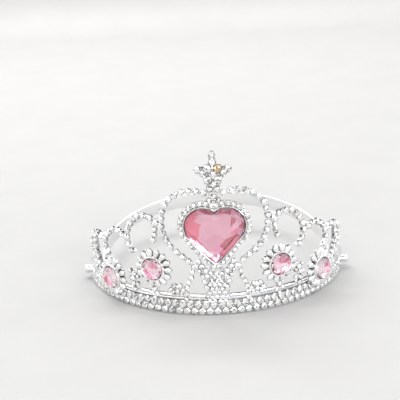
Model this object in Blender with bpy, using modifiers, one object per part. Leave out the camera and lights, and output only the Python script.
"""Toy tiara: a half-round openwork wall with pink gems, and a plain hoop that swings on two pins.

Units are metres.  +Z is up, -Y is the front, and +X is the wearer's left.  The origin is the middle of
the bounding box, on the surface that the tiara stands on.  Shapes on the wall are drawn on the unrolled
wall, as (s, z): s is the arc length from the middle of the front, and z the height.
"""

import math

import bmesh
import bpy
from mathutils import Vector

MM = 0.001

# Driving dimensions
WALL_RADIUS = 66.5 * MM          # front of the wall's stones, from the axis of the half circle
WALL_DEPTH = 3.0 * MM            # radial depth of the moulding
WALL_HALF_SPAN = 84.0            # degrees from the middle of the front to either end
GAP = 0.3 * MM                   # clearance between neighbouring solids
BAND_HEIGHT = 7.4 * MM
RAIL_TOP = 9.8 * MM
END_TAB_START = 74.0             # degrees where the plain end tabs begin
STRAND_RADIUS = 1.5 * MM         # openwork strands
SMALL_STRAND_RADIUS = 1.2 * MM

GEM_RADIUS = 6.0 * MM            # round gems are 12 mm across
GEM_TABLE_RADIUS = 3.4 * MM
GEM_GIRDLE = 0.8 * MM
GEM_CROWN = 2.2 * MM
COLLET_RADIUS = 10.1 * MM        # to the tips of the sunburst's petals
COLLET_WAIST = 8.7 * MM          # to the notches between the petals
COLLET_PETALS = 14
COLLET_DEPTH = 2.4 * MM
INNER_COLLET_ANGLE = 27.7        # degrees from the middle of the front
INNER_COLLET_Z = 22.5 * MM
INNER_COLLET_BACK = 64.3 * MM    # radius of the collet's back face
OUTER_COLLET_ANGLE = 49.0
OUTER_COLLET_Z = 13.8 * MM
OUTER_COLLET_BACK = WALL_RADIUS + GAP

LOBE_CENTRE_X = 5.9 * MM         # the heart's two round lobes
LOBE_CENTRE_Z = 46.6 * MM
LOBE_RADIUS = 8.9 * MM
HEART_TIP_Z = 27.6 * MM
HEART_RIM = 3.0 * MM             # width of the beaded rim round the heart gem
HEART_BACK = 64.4 * MM           # distance of the setting's flat back from the wall's axis
HEART_SETTING_DEPTH = 2.9 * MM
HEART_GIRDLE = 0.9 * MM
HEART_CROWN = 2.6 * MM
HEART_TABLE_SCALE = 0.74

NECK_BOTTOM = 58.9 * MM
NECK_HALF_WIDTH = 3.2 * MM
STAR_BASE = 65.3 * MM
STAR_DEPTH = 3.2 * MM
STEM_HALF_WIDTH = 1.8 * MM       # posts under the inner sunbursts

PIVOT_Z = 5.0 * MM
PIVOT_ANGLE = 80.0               # degrees round the wall, where the pins pass through the end tabs
PIN_RADIUS = 2.0 * MM
PIN_HEAD_RADIUS = 2.7 * MM
PIN_HEAD_LENGTH = 2.9 * MM
PIN_HEAD_GAP = 0.8 * MM          # from the wall's outer face to the pin's head
PIN_SHAFT_PAST_EYE = 0.5 * MM    # how far the shaft comes through the hoop's inner face
PIN_DOME = 0.5 * MM              # bevel at both ends of the pin
EYE_RADIUS = 4.6 * MM
EYE_DEPTH = 2.5 * MM
EYE_SINK = 0.01 * MM             # overlap that joins each eye to the strip
CUTTER_REACH = 6.0 * MM          # how far a hole's cutter runs past both faces
HOOP_HALF_WIDTH = 58.5 * MM      # inner face of the hoop's straight sides
HOOP_BEND_DEPTH = 59.0 * MM      # from the end of the straight sides to the back of the hoop
HOOP_THICKNESS = 1.3 * MM
HOOP_STRIP_WIDTH = 8.0 * MM
HOOP_TILT = 10.0                 # degrees above level

SIDES = (("left", -1.0), ("right", 1.0))

# Derived positions
WALL_INNER = WALL_RADIUS - WALL_DEPTH
WALL_MIDDLE = WALL_RADIUS - WALL_DEPTH / 2
PIVOT_FORWARD = WALL_RADIUS * math.cos(math.radians(PIVOT_ANGLE))
HOOP_LENGTH = PIVOT_FORWARD + HOOP_BEND_DEPTH + HOOP_THICKNESS
HEART_FRONT = HEART_BACK + HEART_SETTING_DEPTH + GAP + HEART_GIRDLE + HEART_CROWN
HOOP_REACH = (
    HOOP_LENGTH * math.cos(math.radians(HOOP_TILT))
    + HOOP_STRIP_WIDTH / 2 * math.sin(math.radians(HOOP_TILT))
    - PIVOT_FORWARD
)
AXIS_Y = (HEART_FRONT - HOOP_REACH) / 2   # the half circle's axis, so that the box is centred on Y = 0
PIVOT_Y = AXIS_Y - PIVOT_FORWARD

for leftover in list(bpy.data.objects):
    bpy.data.objects.remove(leftover, do_unlink=True)

parts = bpy.data.collections.new("toy_tiara")
cutters = bpy.data.collections.new("toy_tiara_cutters")
bpy.context.scene.collection.children.link(parts)
bpy.context.scene.collection.children.link(cutters)


def plated_or_acrylic(name, colour, metallic, roughness):
    made = bpy.data.materials.new(name)
    made.use_nodes = True
    shader = made.node_tree.nodes["Principled BSDF"]
    shader.inputs["Base Color"].default_value = (*colour, 1.0)
    shader.inputs["Metallic"].default_value = metallic
    shader.inputs["Roughness"].default_value = roughness
    return made


def silver(name):
    return plated_or_acrylic(name + "_plate", (0.86, 0.87, 0.88), 1.0, 0.14)


def pink(name):
    return plated_or_acrylic(name + "_acrylic", (0.86, 0.42, 0.52), 0.0, 0.05)


def on_wall(s, z, radius=WALL_MIDDLE):
    """The point of the wall at arc length s and height z, at this radius from its axis."""
    angle = s / WALL_RADIUS
    return Vector((radius * math.sin(angle), AXIS_Y - radius * math.cos(angle), z))


def mirrored(points, side):
    return [(side * s, z) for s, z in points]


def smooth_run(points, steps):
    """A Catmull-Rom curve through the points, with this many steps between neighbours."""
    padded = [points[0], *points, points[-1]]
    run = []
    for before, start, end, after in zip(padded, padded[1:], padded[2:], padded[3:]):
        for step in range(steps):
            t = step / steps
            run.append(
                tuple(
                    0.5 * (2 * b + (c - a) * t + (2 * a - 5 * b + 4 * c - d) * t * t
                           + (3 * b - a - 3 * c + d) * t * t * t)
                    for a, b, c, d in zip(before, start, end, after)
                )
            )
    run.append(tuple(points[-1]))
    return run


def strand(name, points_mm, side=1.0, radius=STRAND_RADIUS, steps=3):
    """A round strand of the openwork, along points on the unrolled wall."""
    in_metres = [(s * MM, z * MM) for s, z in points_mm]
    route = [on_wall(s, z) for s, z in mirrored(smooth_run(in_metres, steps), side)]
    curve = bpy.data.curves.new(name, "CURVE")
    curve.dimensions = "3D"
    curve.bevel_depth = radius
    curve.bevel_resolution = 2
    curve.use_fill_caps = True
    spline = curve.splines.new("POLY")
    spline.points.add(len(route) - 1)
    for point, place in zip(spline.points, route):
        point.co = (*place, 1.0)
    obj = bpy.data.objects.new(name, curve)
    obj.data.materials.append(silver(name))
    parts.objects.link(obj)
    return obj


def plate_curve(name, outline, thickness):
    """A flat plate: the closed outline in the curve's own XY plane, filled and extruded about that plane."""
    curve = bpy.data.curves.new(name, "CURVE")
    curve.dimensions = "2D"
    curve.fill_mode = "BOTH"
    curve.extrude = thickness / 2
    spline = curve.splines.new("POLY")
    spline.points.add(len(outline) - 1)
    for point, (x, y) in zip(spline.points, outline):
        point.co = (x, y, 0.0, 1.0)
    spline.use_cyclic_u = True
    return bpy.data.objects.new(name, curve)


def meshed(obj, material):
    """The curve object as a mesh object of the same name and place, with its caps welded on."""
    bpy.context.scene.collection.objects.link(obj)
    bpy.context.view_layer.update()
    ready = obj.evaluated_get(bpy.context.evaluated_depsgraph_get())
    mesh = bpy.data.meshes.new_from_object(ready)
    place = obj.matrix_world.copy()
    name = obj.name
    bpy.data.objects.remove(obj, do_unlink=True)
    work = bmesh.new()
    work.from_mesh(mesh)
    bmesh.ops.remove_doubles(work, verts=work.verts, dist=0.00001)
    bmesh.ops.recalc_face_normals(work, faces=work.faces)
    work.to_mesh(mesh)
    work.free()
    solid = bpy.data.objects.new(name, mesh)
    solid.matrix_world = place
    solid.data.materials.clear()
    solid.data.materials.append(material)
    parts.objects.link(solid)
    return solid


def upright_plate(name, outline, thickness, back, angle=0.0, centre_z=0.0):
    """A flat plate that faces out of the wall at this angle, its back face this far from the wall's axis."""
    obj = plate_curve(name, outline, thickness)
    turn = math.radians(angle)
    middle = back + thickness / 2
    obj.location = (middle * math.sin(turn), AXIS_Y - middle * math.cos(turn), centre_z)
    obj.rotation_euler = (math.radians(90), 0.0, turn)
    return obj


def post_outline(half_width, bottom, top):
    """An upright rectangle about the middle of a plate."""
    return [(half_width, bottom), (half_width, top), (-half_width, top), (-half_width, bottom)]


def band_outline(start, end, steps):
    """The plan of a piece of the band between two angles in degrees: outer arc, then inner arc back."""
    angles = [math.radians(start + (end - start) * i / steps) for i in range(steps + 1)]
    outer = [(WALL_RADIUS * math.sin(a), -WALL_RADIUS * math.cos(a)) for a in angles]
    inner = [(WALL_INNER * math.sin(a), -WALL_INNER * math.cos(a)) for a in reversed(angles)]
    return outer + inner


def band_piece(name, start, end, bottom, top, steps):
    obj = plate_curve(name, band_outline(start, end, steps), top - bottom)
    obj.location = (0.0, AXIS_Y, (bottom + top) / 2)
    return meshed(obj, silver(name))


def round_cutter(name, radius, start_x, end_x, facets=32):
    """A cylinder along X through the pivot."""
    mesh = bpy.data.meshes.new(name)
    work = bmesh.new()
    bmesh.ops.create_cone(
        work, cap_ends=True, segments=facets, radius1=radius, radius2=radius, depth=abs(end_x - start_x)
    )
    work.to_mesh(mesh)
    work.free()
    obj = bpy.data.objects.new(name, mesh)
    obj.location = ((start_x + end_x) / 2, PIVOT_Y, PIVOT_Z)
    obj.rotation_euler = (0.0, math.radians(90), 0.0)
    return obj


def as_cutter(obj):
    cutters.objects.link(obj)
    obj.hide_render = True
    obj.display_type = "WIRE"
    return obj


def boolean(obj, other, operation):
    step = obj.modifiers.new(operation.lower(), "BOOLEAN")
    step.operation = operation
    step.solver = "EXACT"
    step.object = other


def heart_outline(grow, lobe_steps=14):
    """Two round lobes and two straight flanks down to the tip, grown outwards by this much."""
    radius = LOBE_RADIUS + grow
    centre = Vector((LOBE_CENTRE_X, LOBE_CENTRE_Z))
    reach = LOBE_CENTRE_Z - HEART_TIP_Z
    to_tip = math.atan2(-reach, -LOBE_CENTRE_X)
    distance = math.hypot(reach, LOBE_CENTRE_X)
    flank = to_tip + math.acos(LOBE_RADIUS / distance)
    dip = math.acos(-LOBE_CENTRE_X / radius)
    tip = Vector((0.0, HEART_TIP_Z + grow / math.sin(flank)))
    right = []
    for step in range(lobe_steps + 1):
        angle = flank + (dip - flank) * step / lobe_steps
        right.append(centre + radius * Vector((math.cos(angle), math.sin(angle))))
    left = [Vector((-p.x, p.y)) for p in reversed(right[:-1])]
    return [tuple(p) for p in [tip, *right, *left]]


def petal_outline():
    """A rosette: the radius swings between the petal tips and the notches."""
    steps = COLLET_PETALS * 4
    middle = (COLLET_RADIUS + COLLET_WAIST) / 2
    swing = (COLLET_RADIUS - COLLET_WAIST) / 2
    outline = []
    for step in range(steps):
        angle = 2 * math.pi * step / steps
        radius = middle + swing * math.cos(COLLET_PETALS * angle)
        outline.append((radius * math.cos(angle), radius * math.sin(angle)))
    return outline


def turned(name, profile, steps=24):
    """A solid turned about its own Z axis from (radius, height) points that run from top to bottom."""
    mesh = bpy.data.meshes.new(name)
    mesh.from_pydata([(r, 0.0, h) for r, h in profile], [(i, i + 1) for i in range(len(profile) - 1)], [])
    obj = bpy.data.objects.new(name, mesh)
    screw = obj.modifiers.new("turn", "SCREW")
    screw.axis = "Z"
    screw.steps = steps
    screw.render_steps = steps
    screw.use_merge_vertices = True
    screw.merge_threshold = 0.00001
    parts.objects.link(obj)
    return obj


def base_band():
    band_piece("base_band", -END_TAB_START, END_TAB_START, 0.0, BAND_HEIGHT, 48)


def top_rail():
    band_piece("top_rail", -END_TAB_START, END_TAB_START, BAND_HEIGHT + GAP, RAIL_TOP, 48)


def end_tab(side_name, side):
    """The plain end of the band, with the hole that the pivot pin turns in."""
    start = END_TAB_START + math.degrees(GAP / WALL_RADIUS)
    edges = sorted((side * start, side * WALL_HALF_SPAN))
    tab = band_piece("end_tab_" + side_name, *edges, 0.0, RAIL_TOP, 6)
    inner = side * (WALL_INNER - CUTTER_REACH)
    outer = side * (WALL_RADIUS + CUTTER_REACH)
    hole = as_cutter(round_cutter("pin_hole_" + side_name, PIN_RADIUS + GAP, inner, outer))
    boolean(tab, hole, "DIFFERENCE")


def pivot_pin(side_name, side):
    """A turned pin: a round head outside the wall and a shaft through the tab and the hoop's eye."""
    head_start = WALL_RADIUS * math.sin(math.radians(PIVOT_ANGLE)) + PIN_HEAD_GAP
    head_end = head_start + PIN_HEAD_LENGTH
    shaft_end = HOOP_HALF_WIDTH - PIN_SHAFT_PAST_EYE
    profile = [
        (0.0, head_end),
        (PIN_HEAD_RADIUS - PIN_DOME, head_end),
        (PIN_HEAD_RADIUS, head_end - PIN_DOME),
        (PIN_HEAD_RADIUS, head_start),
        (PIN_RADIUS, head_start),
        (PIN_RADIUS, shaft_end + PIN_DOME),
        (PIN_RADIUS - PIN_DOME, shaft_end),
        (0.0, shaft_end),
    ]
    pin = turned("pivot_pin_" + side_name, profile)
    pin.location = (0.0, PIVOT_Y, PIVOT_Z)
    pin.rotation_euler = (0.0, side * math.radians(90), 0.0)
    pin.data.materials.append(silver(pin.name))


def hoop_outline(steps=40):
    """The hoop's plan in its own plane: straight sides back from the pivot, then half an ellipse."""
    def edge(grow):
        run = [(HOOP_HALF_WIDTH + grow, 0.0)]
        for step in range(steps + 1):
            angle = math.pi * step / steps
            run.append(
                (
                    (HOOP_HALF_WIDTH + grow) * math.cos(angle),
                    PIVOT_FORWARD + (HOOP_BEND_DEPTH + grow) * math.sin(angle),
                )
            )
        run.append((-HOOP_HALF_WIDTH - grow, 0.0))
        return run
    return edge(HOOP_THICKNESS) + list(reversed(edge(0.0)))


def hoop():
    """One strip bent in a U, with a round eye at each end on the pivot's axis."""
    strip = plate_curve("hoop", hoop_outline(), HOOP_STRIP_WIDTH)
    strip.location = (0.0, PIVOT_Y, PIVOT_Z)
    strip.rotation_euler = (math.radians(HOOP_TILT), 0.0, 0.0)
    whole = meshed(strip, silver("hoop"))
    for side_name, side in SIDES:
        inner = side * (HOOP_HALF_WIDTH - EYE_SINK)
        outer = side * (HOOP_HALF_WIDTH + EYE_DEPTH)
        eye = as_cutter(round_cutter("eye_" + side_name, EYE_RADIUS, inner, outer))
        boolean(whole, eye, "UNION")
    for side_name, side in SIDES:
        start = side * (HOOP_HALF_WIDTH - CUTTER_REACH)
        end = side * (HOOP_HALF_WIDTH + EYE_DEPTH + CUTTER_REACH)
        bore = as_cutter(round_cutter("eye_hole_" + side_name, PIN_RADIUS + GAP, start, end))
        boolean(whole, bore, "DIFFERENCE")


def sunburst(name, angle, centre_z, back):
    """A round collet with petals like a sunburst."""
    plate = upright_plate(name, petal_outline(), COLLET_DEPTH, back, angle, centre_z)
    meshed(plate, silver(name))


def round_gem(name, angle, centre_z, seat):
    """A faceted round gem: a thin girdle, a sloping crown and a flat table."""
    profile = [
        (0.0, GEM_GIRDLE + GEM_CROWN),
        (GEM_TABLE_RADIUS, GEM_GIRDLE + GEM_CROWN),
        (GEM_RADIUS, GEM_GIRDLE),
        (GEM_RADIUS, 0.0),
        (0.0, 0.0),
    ]
    gem = turned(name, profile, steps=16)
    turn = math.radians(angle)
    gem.location = (seat * math.sin(turn), AXIS_Y - seat * math.cos(turn), centre_z)
    gem.rotation_euler = (math.radians(90), 0.0, turn)
    gem.data.materials.append(pink(name))


def heart_setting():
    plate = upright_plate("heart_setting", heart_outline(HEART_RIM), HEART_SETTING_DEPTH, HEART_BACK)
    meshed(plate, silver("heart_setting"))


def heart_gem():
    """A heart with a straight girdle, then a crown that slopes in to a flat table."""
    seat = AXIS_Y - HEART_BACK - HEART_SETTING_DEPTH - GAP
    centre_z = LOBE_CENTRE_Z - LOBE_RADIUS / 2
    outline = heart_outline(0.0)
    work = bmesh.new()
    rings = []
    for depth, scale in ((0.0, 1.0), (HEART_GIRDLE, 1.0), (HEART_GIRDLE + HEART_CROWN, HEART_TABLE_SCALE)):
        points = [(x * scale, seat - depth, centre_z + (z - centre_z) * scale) for x, z in outline]
        ring = [work.verts.new(point) for point in points]
        rings.append(ring)
    for back, front in zip(rings, rings[1:]):
        for corners in zip(back, back[1:] + back[:1], front[1:] + front[:1], front):
            work.faces.new(corners)
    work.faces.new(rings[0])
    work.faces.new(rings[-1])
    bmesh.ops.recalc_face_normals(work, faces=work.faces)
    mesh = bpy.data.meshes.new("heart_gem")
    work.to_mesh(mesh)
    work.free()
    obj = bpy.data.objects.new("heart_gem", mesh)
    obj.data.materials.append(pink("heart_gem"))
    parts.objects.link(obj)


def pedestal():
    """The stand under the heart: a beaded block on the rail, and a narrower column."""
    block_half, column_half = 6.3 * MM, 3.2 * MM
    block_top, column_top = 14.4 * MM, 22.2 * MM
    floor = RAIL_TOP + GAP
    half = [(block_half, floor), (block_half, block_top), (column_half, block_top), (column_half, column_top)]
    outline = half + [(-x, z) for x, z in reversed(half)]
    plate = upright_plate("pedestal", outline, WALL_DEPTH, WALL_INNER)
    meshed(plate, silver("pedestal"))


def star_neck():
    """The short beaded neck between the heart's dip and the star."""
    outline = post_outline(NECK_HALF_WIDTH, NECK_BOTTOM, STAR_BASE - GAP)
    meshed(upright_plate("star_neck", outline, WALL_DEPTH, WALL_INNER), silver("star_neck"))


def star_finial():
    """Five points: one up, two to the sides, and two short ones that run down into the neck."""
    half = [
        (3.3, 0.0),
        (4.2, 2.1),
        (6.4, 4.7),
        (9.0, 7.1),
        (9.2, 9.7),
        (7.4, 10.6),
        (4.3, 9.3),
        (2.1, 11.1),
        (2.0, 15.1),
        (1.1, 17.3),
    ]
    right = [(x * MM, STAR_BASE + height * MM) for x, height in half]
    outline = right + [(-x, z) for x, z in reversed(right)]
    plate = upright_plate("star_finial", outline, STAR_DEPTH, WALL_INNER)
    meshed(plate, silver("star_finial"))


def sunburst_stem(side_name, side):
    """The small post between the rail and an inner sunburst."""
    outline = post_outline(STEM_HALF_WIDTH, RAIL_TOP + GAP, INNER_COLLET_Z - COLLET_RADIUS - GAP)
    name = "sunburst_stem_" + side_name
    plate = upright_plate(name, outline, WALL_DEPTH, WALL_INNER, side * INNER_COLLET_ANGLE)
    meshed(plate, silver(name))


def openwork(side_name, side):
    """The strands of one half of the wall, in millimetres on the unrolled wall."""
    heart_arch = [
        (5.2, 62.2), (10.0, 62.9), (15.6, 62.3), (20.8, 59.6), (24.8, 54.9), (26.6, 49.0), (26.6, 43.5),
        (25.2, 38.6), (22.4, 34.4), (18.4, 31.0), (14.2, 28.0), (12.4, 26.0),
    ]
    strand("heart_arch_" + side_name, heart_arch, side)
    leg = [(12.2, 24.1), (12.3, 20.4), (13.0, 17.4), (14.6, 14.2), (15.4, 10.2)]
    strand("leg_" + side_name, leg, side, SMALL_STRAND_RADIUS)
    scroll = [(8.9, 24.6), (7.4, 23.6), (6.0, 20.8), (5.9, 18.0), (5.3, 16.0)]
    strand("scroll_" + side_name, scroll, side, SMALL_STRAND_RADIUS)
    inner_loop = [
        (29.4, 45.6), (31.6, 47.4), (35.2, 48.6), (39.4, 48.1), (43.2, 45.5), (46.4, 41.8), (48.1, 37.2),
        (47.8, 33.2), (45.9, 30.0), (42.8, 28.4),
    ]
    strand("inner_loop_" + side_name, inner_loop, side)
    strand("hanging_curl_" + side_name, [(31.2, 43.9), (30.6, 40.8), (31.1, 37.4)], side, SMALL_STRAND_RADIUS)
    outer_loop = [
        (50.4, 36.0), (53.4, 37.4), (57.8, 37.4), (62.6, 34.8), (66.4, 31.0), (67.6, 27.4), (66.6, 24.4),
        (64.6, 22.4),
    ]
    strand("outer_loop_" + side_name, outer_loop, side)
    end_loop = [
        (69.6, 29.6), (73.0, 31.0), (79.4, 29.6), (86.0, 26.6), (88.6, 23.0), (86.0, 19.6), (81.4, 16.2),
        (79.0, 12.8), (78.6, 10.2),
    ]
    strand("end_loop_" + side_name, end_loop, side)
    strand("low_chain_" + side_name, [(16.9, 13.5), (20.0, 14.0), (22.9, 13.2)], side, SMALL_STRAND_RADIUS)
    leaf = [(43.9, 19.6), (44.8, 16.4), (44.6, 13.2), (43.9, 10.2)]
    strand("leaf_link_" + side_name, leaf, side, SMALL_STRAND_RADIUS)


def build():
    base_band()
    top_rail()
    pedestal()
    heart_setting()
    heart_gem()
    star_neck()
    star_finial()
    for side_name, side in SIDES:
        end_tab(side_name, side)
        openwork(side_name, side)
        sunburst_stem(side_name, side)
        inner_angle = side * INNER_COLLET_ANGLE
        outer_angle = side * OUTER_COLLET_ANGLE
        sunburst("sunburst_inner_" + side_name, inner_angle, INNER_COLLET_Z, INNER_COLLET_BACK)
        sunburst("sunburst_outer_" + side_name, outer_angle, OUTER_COLLET_Z, OUTER_COLLET_BACK)
        seat = COLLET_DEPTH + GAP
        round_gem("gem_inner_" + side_name, inner_angle, INNER_COLLET_Z, INNER_COLLET_BACK + seat)
        round_gem("gem_outer_" + side_name, outer_angle, OUTER_COLLET_Z, OUTER_COLLET_BACK + seat)
        pivot_pin(side_name, side)
    hoop()


build()
